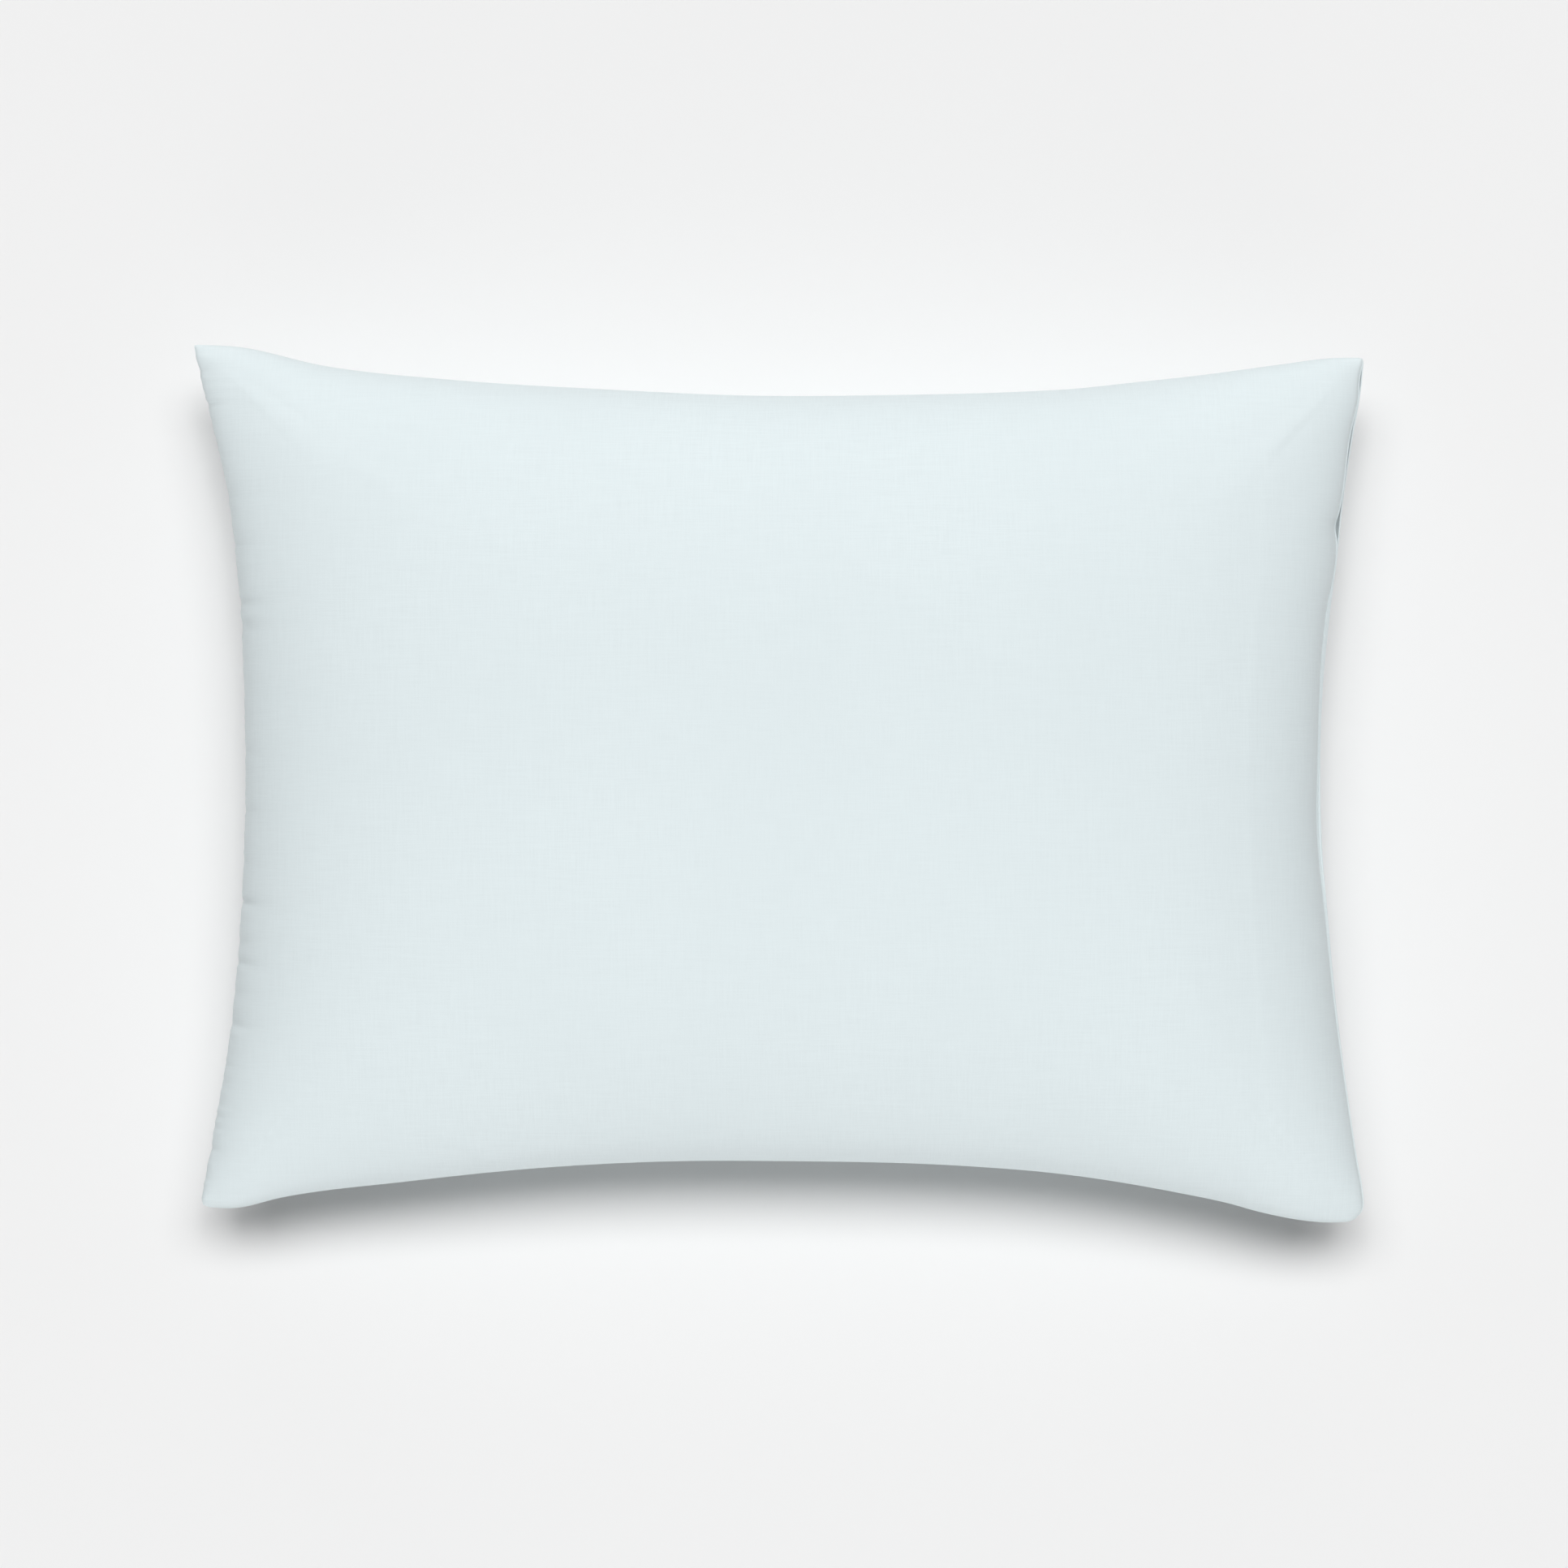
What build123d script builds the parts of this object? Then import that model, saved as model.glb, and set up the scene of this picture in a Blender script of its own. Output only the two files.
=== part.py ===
from build123d import *
import os
from math import cos, pi

# A bed pillow in its pillowcase, lying on its back. Millimetres.
# +Z is up, +X runs to the end where the case opens, and the origin is on the bed, under the middle of
# the box round the pillow. Every cloth is one layer of a pillow shape: what lies between an outer shape
# and another one a stated depth inside it.

# ---- overall sizes of the stuffed pillow ----
LENGTH = 628.0  # over the corner tips, along X
WIDTH = 470.0  # over the corner tips, along Y
LOFT = 168.0  # height at rest, at the crown
SEAM_HEIGHT = 66.0  # height of the seam plane above the bed
BED_SQUASH = 14.0  # how far the underside would bulge below the bed if it weren't pressed flat

# ---- how far the stuffing draws each side in between its corners ----
SAG_LEFT = 26.0
SAG_RIGHT = 23.5
SAG_TOP = 24.0
SAG_BOTTOM = 29.0

# ---- how far the two odd corners stand off the box ----
TOP_RIGHT_DROP = 7.0
BOTTOM_LEFT_RISE = 7.5
BOTTOM_LEFT_INSET = 3.5

# ---- swell of the crown: 2 is a half ellipse, more is flatter on top and steeper at the sides ----
SWELL_LONG = 2.5
SWELL_WIDE = 2.3

# ---- cloth, seams and thread ----
CLOTH = 0.4  # one thickness of pillowcase or ticking
SLACK = 0.3  # air between layers that aren't sewn together
SEAM_HALF = CLOTH  # a seam is two turned-in edges, one each side of the seam plane
RIM_HALF = SEAM_HALF + 2 * CLOTH  # half the height of the case's edge, where the panels meet the seam
CASE_SEAM_WIDTH = 10.0
TICKING_SEAM_WIDTH = 8.0
EDGE_GAP = 2.0  # from the inner edge of the case's seams to the edge of the ticking
THREAD_RADIUS = 0.2
THREAD_CLEARANCE = 0.12
THREAD_TRIM = 0.02  # share of a side left free of thread at each corner

# ---- mouth of the case ----
HEM_DEPTH = 50.0
FLAP_DEPTH = 170.0
FLAP_HEM_DEPTH = 12.0
FLAP_EDGE_INSET = 2.0

# ---- bartacks that lock the ends of the mouth ----
TACK_STITCHES = 14
TACK_PITCH = 0.65
TACK_LENGTH = 1.0
TACK_THREAD = 0.35
TACK_CLEARANCE = 0.03
TACK_INSET = 2.0
TACK_FROM_CORNER = 14.0

# ---- labels ----
LABEL_THICKNESS = 0.3
LABEL_WIDTH = 30.0
LABEL_REACH = 45.0
CASE_LABEL_X = -170.0
INSERT_LABEL_X = 150.0

# ---- the layers, each (depth below the outside of the case, inset from its edge, rim height) ----
TICKING_EDGE = CASE_SEAM_WIDTH + EDGE_GAP
INNER_RIM = SEAM_HALF + CLOTH / 2  # rim of a layer that starts inside its seam

CASE_OUTSIDE = (0, 0, RIM_HALF)
CASE_INSIDE = (CLOTH, CLOTH, RIM_HALF - CLOTH)
HEM_INSIDE = (2 * CLOTH, 2 * CLOTH, INNER_RIM)
FLAP_OUTSIDE = (2 * CLOTH + SLACK, FLAP_EDGE_INSET, INNER_RIM)
FLAP_INSIDE = (3 * CLOTH + SLACK, FLAP_EDGE_INSET + CLOTH, INNER_RIM)
FLAP_HEM_INSIDE = (4 * CLOTH + SLACK, FLAP_EDGE_INSET + 2 * CLOTH, INNER_RIM)
TICKING_OUTSIDE = (4 * CLOTH + 2 * SLACK, TICKING_EDGE, INNER_RIM + CLOTH)
TICKING_INSIDE = (5 * CLOTH + 2 * SLACK, TICKING_EDGE + CLOTH, INNER_RIM)
FILL_OUTSIDE = (5 * CLOTH + 3 * SLACK, TICKING_EDGE + TICKING_SEAM_WIDTH + SLACK, INNER_RIM)
CASE_LABEL_INSIDE = (CLOTH + LABEL_THICKNESS, CLOTH + LABEL_THICKNESS, INNER_RIM)
INSERT_LABEL_OUTSIDE = (
    TICKING_OUTSIDE[0] - LABEL_THICKNESS,
    TICKING_EDGE - LABEL_THICKNESS,
    INNER_RIM + CLOTH,
)

ALONG = 28  # spans of the surface grid along the pillow
ACROSS = 22  # and across it

FAR = 4 * (LENGTH + WIDTH + LOFT)  # larger than anything, for cutting blocks


# ---- outline ----


def corners(inset):
    """The four corner tips of an outline that lies an inset inside the seam line."""
    half_length = LENGTH / 2 - inset
    half_width = WIDTH / 2 - inset
    return {
        "top_left": Vector(-half_length, half_width),
        "top_right": Vector(half_length, half_width - TOP_RIGHT_DROP),
        "bottom_right": Vector(half_length, -half_width),
        "bottom_left": Vector(-half_length + BOTTOM_LEFT_INSET, -half_width + BOTTOM_LEFT_RISE),
    }


# each side: first corner, last corner, the way it sags, how far it sags
SIDES = {
    "top": ("top_left", "top_right", Vector(0, -1), SAG_TOP),
    "bottom": ("bottom_left", "bottom_right", Vector(0, 1), SAG_BOTTOM),
    "left": ("bottom_left", "top_left", Vector(1, 0), SAG_LEFT),
    "right": ("bottom_right", "top_right", Vector(-1, 0), SAG_RIGHT),
}


def side_arc(side, inset):
    """One side of the outline, as an arc drawn in between its two corners."""
    first, last, inward, sag = SIDES[side]
    tips = corners(inset)
    middle = (tips[first] + tips[last]) * 0.5 + inward * sag
    return ThreePointArc(tips[first], middle, tips[last])


# ---- closed pillow shapes ----


def spacing(spans):
    """Places from -1 to 1, closer together near the ends, where the surface is steep."""
    return [-cos(pi * i / spans) for i in range(spans + 1)]


def crown(place, swell):
    """Height of the crown, 0 at an edge and 1 in the middle."""
    return max(0.0, 1 - abs(place) ** swell) ** 0.5


def dome(inset, rim_height, crown_height):
    """A surface over the outline that rises from rim_height to crown_height."""
    tips = corners(inset)
    arcs = {side: side_arc(side, inset) for side in SIDES}
    rows = []
    for across in spacing(ACROSS):
        v = (1 + across) / 2
        left = arcs["left"] @ v
        right = arcs["right"] @ v
        row = []
        for along in spacing(ALONG):
            u = (1 + along) / 2
            bottom = arcs["bottom"] @ u
            top = arcs["top"] @ u
            flat = left * (1 - u) + right * u + bottom * (1 - v) + top * v
            flat -= (tips["bottom_left"] * (1 - u) + tips["bottom_right"] * u) * (1 - v)
            flat -= (tips["top_left"] * (1 - u) + tips["top_right"] * u) * v
            rise = crown(along, SWELL_LONG) * crown(across, SWELL_WIDE)
            row.append(Vector(flat.X, flat.Y, rim_height + (crown_height - rim_height) * rise))
        rows.append(row)
    return Face.make_surface_from_array_of_points(rows, min_deg=3, max_deg=5)


def half(layer, way, reach):
    """One half of a closed pillow shape: up to the crown for way 1, down to the bed for way -1.

    The layer is its depth below the outside of the case, its inset from the case's edge and the
    height of its rim. The half is flat at its open side, reach beyond the seam plane."""
    depth, inset, rim = layer
    rim_height = SEAM_HEIGHT + way * rim
    open_height = SEAM_HEIGHT + way * reach
    crown_height = LOFT - depth if way > 0 else depth - BED_SQUASH
    surface = dome(inset, rim_height, crown_height)
    edges = surface.edges()
    shadows = [Pos(0, 0, open_height - rim_height) * edge for edge in edges]
    rims = [Face.make_surface_from_curves(edge, shadow) for edge, shadow in zip(edges, shadows)]
    whole = Solid(Shell([surface, Face(Wire(shadows))] + rims))
    return whole if way > 0 else whole & block(z_from=depth)


def solid_shape(layer):
    """Both halves of a closed pillow shape as one solid."""
    depth, inset, rim = layer
    upper = dome(inset, SEAM_HEIGHT + rim, LOFT - depth)
    lower = dome(inset, SEAM_HEIGHT - rim, depth - BED_SQUASH)
    rims = [
        Face.make_surface_from_curves(over, min(lower.edges(), key=lambda under: apart(over, under)))
        for over in upper.edges()
    ]
    return Solid(Shell([upper, lower] + rims)) & block(z_from=depth)


def apart(edge, other):
    """How far apart the middles of two edges are."""
    return ((edge @ 0.5) - (other @ 0.5)).length


def skin(outer, inner, way):
    """The cloth between two layers, on one side of the seam."""
    return half(outer, way, SEAM_HALF) - half(inner, way, 0)


def block(x_from=-FAR, x_to=FAR, y_from=-FAR, y_to=FAR, z_from=-FAR, z_to=FAR):
    """A box between stated limits, used to keep one region of a layer."""
    box = Box(x_to - x_from, y_to - y_from, z_to - z_from, align=(Align.MIN, Align.MIN, Align.MIN))
    return Pos(x_from, y_from, z_from) * box


def near_mouth(reach):
    """Everything closer to the mouth than reach, measured along X from the mouth's own curve."""
    mouth = side_arc("right", 0)
    low = mouth @ 0
    high = mouth @ 1
    shift = Vector(-reach, 0)
    inner = ThreePointArc(low + shift, (mouth @ 0.5) + shift, high + shift)
    below = Vector((inner @ 0).X, -FAR)
    over = Vector((inner @ 1).X, FAR)
    outline = [
        inner,
        Line(inner @ 1, over),
        Line(over, Vector(FAR, FAR)),
        Line(Vector(FAR, FAR), Vector(FAR, -FAR)),
        Line(Vector(FAR, -FAR), below),
        Line(below, inner @ 0),
    ]
    return extrude(make_face(outline), amount=FAR, dir=(0, 0, 1))


# ---- seams and thread ----


def strip(side, outer, inner, z_from, z_to):
    """A flat band along one side, between two insets, mitred where it meets the next side's."""
    out = side_arc(side, outer)
    into = side_arc(side, inner)
    outline = make_face([out, Line(out @ 1, into @ 1), into, Line(into @ 0, out @ 0)])
    return Pos(0, 0, z_from) * extrude(outline, amount=z_to - z_from, dir=(0, 0, 1))


def thread_inset(edge, width):
    return edge + width / 2


def seam(side, edge, width):
    """The two turned-in edges of one side, with the groove that its thread is drawn down into."""
    top = SEAM_HEIGHT + SEAM_HALF
    reach = THREAD_RADIUS + THREAD_CLEARANCE
    middle = thread_inset(edge, width)
    band = strip(side, edge, edge + width, SEAM_HEIGHT - SEAM_HALF, top)
    groove = strip(side, middle - reach, middle + reach, top - 2 * THREAD_RADIUS, top + SLACK)
    return band - groove


def thread(side, edge, width):
    """The thread of one side's seam, lying in its groove."""
    line = Pos(0, 0, SEAM_HEIGHT + SEAM_HALF - THREAD_RADIUS) * side_arc(side, thread_inset(edge, width))
    path = line.edge().trim(THREAD_TRIM, 1 - THREAD_TRIM)
    return sweep(Plane(path @ 0, z_dir=path % 0) * Circle(THREAD_RADIUS), path=path)


def tack_y(end):
    """Where the first stitch of a bartack lies, and the way its row runs."""
    tips = corners(0)
    if end == "top":
        return tips["top_right"].Y - TACK_FROM_CORNER, -1
    return tips["bottom_right"].Y + TACK_FROM_CORNER, 1


def tack_x(y):
    """The mouth edge's own X at a height y, less the inset of the stitches."""
    mouth = side_arc("right", 0)
    share = (y - (mouth @ 0).Y) / ((mouth @ 1).Y - (mouth @ 0).Y)
    return (mouth @ share).X - TACK_INSET - TACK_LENGTH / 2


def bartack(end, grow=0.0):
    """A row of short stitches across the mouth's edge. Grown, it is the pocket they lie in."""
    first, way = tack_y(end)
    top = SEAM_HEIGHT + SEAM_HALF
    stitches = []
    for i in range(TACK_STITCHES):
        y = first + way * i * TACK_PITCH
        stitch = Box(TACK_LENGTH + 2 * grow, TACK_THREAD + 2 * grow, TACK_THREAD)
        stitches.append(Pos(tack_x(y), y, top - TACK_THREAD / 2) * stitch)
    return stitches


# ---- the pieces ----


def case_pieces():
    """The pillowcase: two panels, hem, tuck-in flap, four edges and their stitching."""
    hem = skin(CASE_INSIDE, HEM_INSIDE, 1)
    flap = skin(FLAP_OUTSIDE, FLAP_INSIDE, 1)
    flap_hem = skin(FLAP_INSIDE, FLAP_HEM_INSIDE, 1)
    fold = FLAP_DEPTH - FLAP_HEM_DEPTH
    pieces = {
        "case_front_panel": skin(CASE_OUTSIDE, CASE_INSIDE, 1),
        "case_back_panel": skin(CASE_OUTSIDE, CASE_INSIDE, -1),
        "case_front_hem": hem & near_mouth(HEM_DEPTH),
        "case_front_hem_thread": (hem & near_mouth(HEM_DEPTH + CLOTH)) - near_mouth(HEM_DEPTH),
        "case_flap": flap & near_mouth(FLAP_DEPTH),
        "case_flap_hem": (flap_hem & near_mouth(FLAP_DEPTH)) - near_mouth(fold),
        "case_flap_hem_thread": (flap_hem & near_mouth(fold)) - near_mouth(fold - CLOTH),
    }
    for side in SIDES:
        name = "case_mouth_seam" if side == "right" else f"case_{side}_seam"
        pieces[name] = seam(side, 0, CASE_SEAM_WIDTH)
        pieces[name + "_thread"] = thread(side, 0, CASE_SEAM_WIDTH)
    for end in ("top", "bottom"):
        pieces["case_mouth_seam"] -= bartack(end, TACK_CLEARANCE)
        pieces[f"case_bartack_{end}"] = Compound(bartack(end))
    return pieces


def insert_pieces():
    """The pillow itself: ticking, its four seams and their thread, and the filling."""
    pieces = {
        "ticking_front": skin(TICKING_OUTSIDE, TICKING_INSIDE, 1),
        "ticking_back": skin(TICKING_OUTSIDE, TICKING_INSIDE, -1),
        "fill": solid_shape(FILL_OUTSIDE),
    }
    for side in SIDES:
        name = "ticking_closing_seam" if side == "right" else f"ticking_{side}_seam"
        pieces[name] = seam(side, TICKING_EDGE, TICKING_SEAM_WIDTH)
        pieces[name + "_thread"] = thread(side, TICKING_EDGE, TICKING_SEAM_WIDTH)
    return pieces


def label(outer, inner, x, edge):
    """A plain label caught in the bottom seam, lying against the cloth that it is sewn to."""
    y = -WIDTH / 2 + SAG_BOTTOM + edge + LABEL_REACH
    return skin(outer, inner, -1) & block(x_from=x - LABEL_WIDTH / 2, x_to=x + LABEL_WIDTH / 2, y_to=y)


def label_pieces():
    """The care labels of the case and of the insert, on the back, out of sight."""
    return {
        "case_care_label": label(CASE_INSIDE, CASE_LABEL_INSIDE, CASE_LABEL_X, 0),
        "insert_care_label": label(
            INSERT_LABEL_OUTSIDE, TICKING_OUTSIDE, INSERT_LABEL_X, TICKING_EDGE
        ),
    }


def main():
    pieces = {**case_pieces(), **insert_pieces(), **label_pieces()}
    os.makedirs("parts", exist_ok=True)
    for name, piece in pieces.items():
        export_step(piece, f"parts/{name}.step")


main()
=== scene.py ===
from math import pi, radians

import bmesh
import bpy
import numpy as np
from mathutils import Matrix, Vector


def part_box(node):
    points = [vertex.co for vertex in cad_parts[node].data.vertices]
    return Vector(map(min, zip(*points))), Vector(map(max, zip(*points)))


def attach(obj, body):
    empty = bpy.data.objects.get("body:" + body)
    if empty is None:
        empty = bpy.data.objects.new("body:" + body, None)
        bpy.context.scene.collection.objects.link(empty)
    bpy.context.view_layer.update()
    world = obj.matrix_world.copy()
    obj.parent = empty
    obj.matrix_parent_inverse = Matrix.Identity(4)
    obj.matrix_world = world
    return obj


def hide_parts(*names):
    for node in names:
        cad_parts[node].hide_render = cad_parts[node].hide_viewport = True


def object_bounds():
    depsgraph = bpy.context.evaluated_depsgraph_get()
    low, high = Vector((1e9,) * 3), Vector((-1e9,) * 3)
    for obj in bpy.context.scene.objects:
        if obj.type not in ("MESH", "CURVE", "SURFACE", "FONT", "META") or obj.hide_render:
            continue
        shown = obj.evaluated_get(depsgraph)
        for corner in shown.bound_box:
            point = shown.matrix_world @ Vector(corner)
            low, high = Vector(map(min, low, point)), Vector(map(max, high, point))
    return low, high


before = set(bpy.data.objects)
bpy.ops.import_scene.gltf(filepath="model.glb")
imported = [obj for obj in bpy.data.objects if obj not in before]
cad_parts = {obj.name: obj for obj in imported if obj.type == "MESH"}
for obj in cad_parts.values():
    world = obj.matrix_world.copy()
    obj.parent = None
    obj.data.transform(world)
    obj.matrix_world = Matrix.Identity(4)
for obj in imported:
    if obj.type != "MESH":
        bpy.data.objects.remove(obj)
cad_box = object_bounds()

# A bed pillow in a plain pillowcase. Metres, +Z up, +X to the end where the case opens.

MM = 0.001

# ---- sizes taken from the frame ----
LOW, HIGH = cad_box
HALF_LENGTH = (HIGH[0] - LOW[0]) / 2
HALF_WIDTH = (HIGH[1] - LOW[1]) / 2
LOFT = HIGH[2] - LOW[2]
SEAM_HEIGHT = sum(corner[2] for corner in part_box("case_top_seam")) / 2
CASE_SEAM = 10 * MM  # width of the case's turned-in seams
TICKING_INSET = 12 * MM  # from the case's edge to the ticking's
TICKING_SEAM = 8 * MM
HEM_DEPTH = 50 * MM
FLAP_DEPTH = 170 * MM
FLAP_HEM_DEPTH = 12 * MM

# ---- the cloth's thickness ----
CLOTH = 0.35 * MM

# ---- seams, stitching and labels ----
EDGE_IN = 0.8 * MM  # from the edge to the outside of a turned-in seam
SEAM_END = 0.035  # share of a side left free of turned-in cloth at each end
STITCH_IN = 2.2 * MM  # from the edge to the row of stitches
STITCH_RADIUS = 0.2 * MM
STITCH_PITCH = 3.0 * MM
STITCH_REACH = 0.55 * MM  # how far the thread goes through the seam's cloth
ROW_REACH = 0.3 * MM  # the same in a hem
MOUTH_FROM = 6 * MM  # where the inner layers start, inside the open end
MOUTH_SEAM_IN = 5 * MM
MOUTH_STITCH_IN = 6.2 * MM
BARTACK_STITCHES = 14
BARTACK_PITCH = 0.65 * MM
BARTACK_RADIUS = 0.17 * MM
BARTACK_INSETS = (3.4 * MM, 4.4 * MM)  # from the edge to each end of its stitches
BARTACK_LIFT = 0.3 * MM
BARTACK_PLACES = {"bottom": 0.035, "top": 0.945}  # share of the way up the open end
LABEL_WIDE = 30 * MM

# ---- how deep each inner layer lies under the case's cloth ----
HEM_DEEP = 0.5 * MM
FLAP_DEEP = 1.0 * MM
FLAP_HEM_DEEP = 1.5 * MM
TICKING_DEEP = 0.022  # as a share of the height above or below the seam
FILL_DEEP = 0.035
LUMPS = (9, 7)  # half waves of the fibre along and across
LUMP_HEIGHT = 0.6 * MM
FILL_LOWER = 0.8 * MM  # how far the fibre's top lies further down, clear of the ticking

# ---- outline: how far each side stands inside the straight line between its corners ----
# (share of the way along the side, inset in mm), from the left or from the bottom
TOP_SIDE = [
    (0.0, 0.0), (0.036, 0.8), (0.112, 10.6), (0.223, 17.4), (0.348, 21.4), (0.48, 24.0), (0.598, 22.8),
    (0.709, 20.2), (0.752, 18.4), (0.80, 14.9), (0.861, 10.3), (0.93, 4.0), (0.972, 0.4), (1.0, 0.0),
]
BOTTOM_SIDE = [
    (0.0, 0.0), (0.031, -0.4), (0.069, 5.3), (0.177, 14.8), (0.282, 22.4), (0.407, 27.4), (0.50, 28.2),
    (0.658, 26.7), (0.735, 23.4), (0.84, 13.8), (0.885, 8.2), (0.909, 4.2), (0.972, -1.2), (1.0, 0.0),
]
LEFT_SIDE = [
    (0.0, 0.0), (0.085, 7.4), (0.179, 15.3), (0.245, 19.2), (0.32, 22.4), (0.414, 25.0), (0.494, 26.1),
    (0.603, 25.6), (0.697, 24.0), (0.753, 21.8), (0.829, 17.7), (0.904, 10.2), (0.968, 3.0), (1.0, 0.0),
]
RIGHT_SIDE = [
    (0.0, 0.0), (0.024, 0.3), (0.08, 4.4), (0.14, 8.4), (0.24, 14.4), (0.358, 19.6), (0.43, 22.4),
    (0.521, 23.4), (0.62, 22.0), (0.70, 18.4), (0.79, 13.3), (0.815, 12.2), (0.895, 7.0), (0.97, 1.2),
    (1.0, 0.0),
]
CORNERS = {
    "top_left": (-HALF_LENGTH, HALF_WIDTH),
    "top_right": (HALF_LENGTH, HALF_WIDTH - 7.0 * MM),
    "bottom_right": (HALF_LENGTH, -HALF_WIDTH),
    "bottom_left": (-HALF_LENGTH + 3.5 * MM, -HALF_WIDTH + 7.5 * MM),
}

# ---- the swell of the stuffed cloth: more is flatter on top and steeper at the sides ----
# two curves are averaged: the first rounds the middle, the second steepens the edge
SWELL_LONG = ((2.4, 2.5), (2.8, 2.9))  # each for the left half and the right half
SWELL_WIDE = ((2.0, 2.05), (3.2, 2.1))  # each for the bottom half and the top half
BED_SQUASH = 20 * MM  # how far the underside would bulge below the bed
BED_ROUND = 5 * MM  # how softly the cloth turns from the bed into the side
BED_CONTACT = 1.5 * BED_ROUND  # cloth lower than this is held by the bed

# ---- the corners: how far each tip is drawn back, and over what distance (mm) ----
BLUNT = {
    "top_left": (0.7, 3.0),
    "top_right": (1.0, 3.5),
    "bottom_right": (4.2, 10.5),
    "bottom_left": (2.0, 6.5),
}

# ---- the open end: what shows beyond the front panel's hem (share up the side, mm) ----
LIP = [
    (0.0, 0.4), (0.2, 0.8), (0.35, 1.4), (0.49, 2.1), (0.52, 1.6), (0.70, 2.0), (0.79, 2.0), (0.803, 3.6),
    (0.82, 2.3), (0.92, 2.3), (0.955, 1.3), (0.975, 2.4), (1.0, 0.5),
]
# how far the hem's edge is raised above the seam (share up the side, mm)
HEM_LIFT = [
    (0.0, 2.2), (0.35, 2.4), (0.55, 2.6), (0.78, 2.8), (0.80, 3.6), (0.92, 3.4), (0.96, 2.5), (1.0, 2.2),
]
# how deep the gap between the hem and the flap is (share up the side, mm)
SLIT = [
    (0.0, 0.0), (0.3, 0.3), (0.5, 0.8), (0.76, 1.0), (0.802, 4.2), (0.83, 2.8), (0.90, 3.2), (0.94, 1.0),
    (0.975, 3.5), (1.0, 0.0),
]
HEM_TURN = 1.0 * MM  # how far the hem's edge stands out from the pillow's side
HEM_ROUND = 0.35 * MM
HEM_FOLD = [(0.12, -0.30), (0.35, -0.55), (0.65, -0.78), (0.92, -0.95)]  # (share of HEM_TURN, mm up)
HEM_CURL = (30, 75, 110, 150, 180)  # degrees round the fold
HEM_UNDER = (0.8, 2.0, 4.0)  # mm back in, beneath the fold
# the flap's fold: (mm inward, mm up)
FLAP_FOLD = [(0.1, 0.2), (0.4, 0.42), (0.9, 0.62), (1.6, 0.74), (2.6, 0.74), (4.0, 0.6), (6.0, 0.5)]
LIP_FADE = 9 * MM  # how far in the open end's shape reaches
HEM_STEP = 0.35 * MM  # how much the doubled cloth of the hem stands up at its inner edge
STEP_BLUR = 1.2 * MM

# ---- gathers along the left seam: (share up the side, depth mm, half width mm, reach mm) ----
GATHERS = [
    (0.068, 1.6, 3.0, 9), (0.2147, 1.4, 3.2, 22), (0.245, 0.6, 2.6, 16), (0.285, 1.4, 2.6, 25),
    (0.306, 1.2, 2.4, 19), (0.353, 1.6, 3.0, 28), (0.40, 0.6, 4.0, 16), (0.46, 0.8, 3.2, 21),
    (0.53, 0.6, 3.0, 16), (0.60, 0.8, 3.6, 19), (0.673, 1.4, 3.0, 28), (0.7015, 1.6, 2.8, 25),
    (0.77, 0.8, 3.2, 19), (0.83, 0.6, 3.0, 16), (0.93, 1.0, 2.6, 11), (0.97, 1.2, 2.4, 8),
]
GATHER_SPREAD = 6  # a gather widens by 1 mm in this many
PUCKER = 0.24  # height of the small ripples between the gathers (mm)
PUCKER_REACH = 11  # mm

# ---- soft creases on the front: start and end in mm from the middle, height mm, half width mm ----
CREASES = [
    ((-172, -186), (-146, -208), 0.5, 4.0), ((-190, -170), (-168, -196), 0.4, 4.5),
    ((208, -92), (236, -146), 0.5, 6.0), ((190, -120), (214, -160), 0.35, 6.0),
    ((-236, 176), (-196, 150), 0.4, 6.0), ((226, 168), (196, 146), 0.35, 6.0),
]

# ---- the simulation ----
SIM_COLUMNS, SIM_ROWS = 104, 78
SIM_FRAMES = 20
SIM_CAP = 4 * MM  # the furthest that any point may move
SIM_CORNER = 90 * MM  # the cloth is held still at the corners, over this distance
SIM_START = 0.985  # the height it starts from, as a share
SEAM_FULLNESS = 0.035  # extra cloth gathered along the seams
FULLNESS_REACH = 30 * MM
CLOTH_MASS = 0.15
TENSION, COMPRESSION, SHEAR, BENDING = 25, 15, 5, 0.05
PRESSURE = 4  # of the filling, from inside

# ---- the shown cloth ----
COLUMNS, ROWS = 340, 256


# ---------------------------------------------------------------- curves and grids


def hermite(places, t):
    """A matrix that turns values at a few places into a smooth curve's values at t."""
    places = np.asarray(places, float)
    values = np.eye(len(places))
    slopes = np.gradient(values, places, axis=0)
    i = np.clip(np.searchsorted(places, t) - 1, 0, len(places) - 2)
    step = (places[i + 1] - places[i])[:, None]
    s = ((t - places[i]) / step[:, 0])[:, None]
    start = (1 + 2 * s) * (1 - s) ** 2 * values[i] + s * (1 - s) ** 2 * step * slopes[i]
    return start + s**2 * (3 - 2 * s) * values[i + 1] + s**2 * (s - 1) * step * slopes[i + 1]


def spacing(spans):
    """Places from 0 to 1, closer together near the ends, where the cloth is steep."""
    even = np.linspace(0, 1, spans + 1)
    return 0.4 * even + 0.6 * (1 - np.cos(pi * even)) / 2


def side(first, last, inward, profile, t):
    """Points along one side of the outline, at shares t of its length."""
    start, end = np.array(CORNERS[first]), np.array(CORNERS[last])
    inset = along(profile, t) * MM
    return start + np.outer(t, end - start) + np.outer(inset, inward)


def along(profile, t):
    """A value given at a few shares of a side, at shares t."""
    return hermite([p[0] for p in profile], t) @ np.array([p[1] for p in profile])


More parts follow.
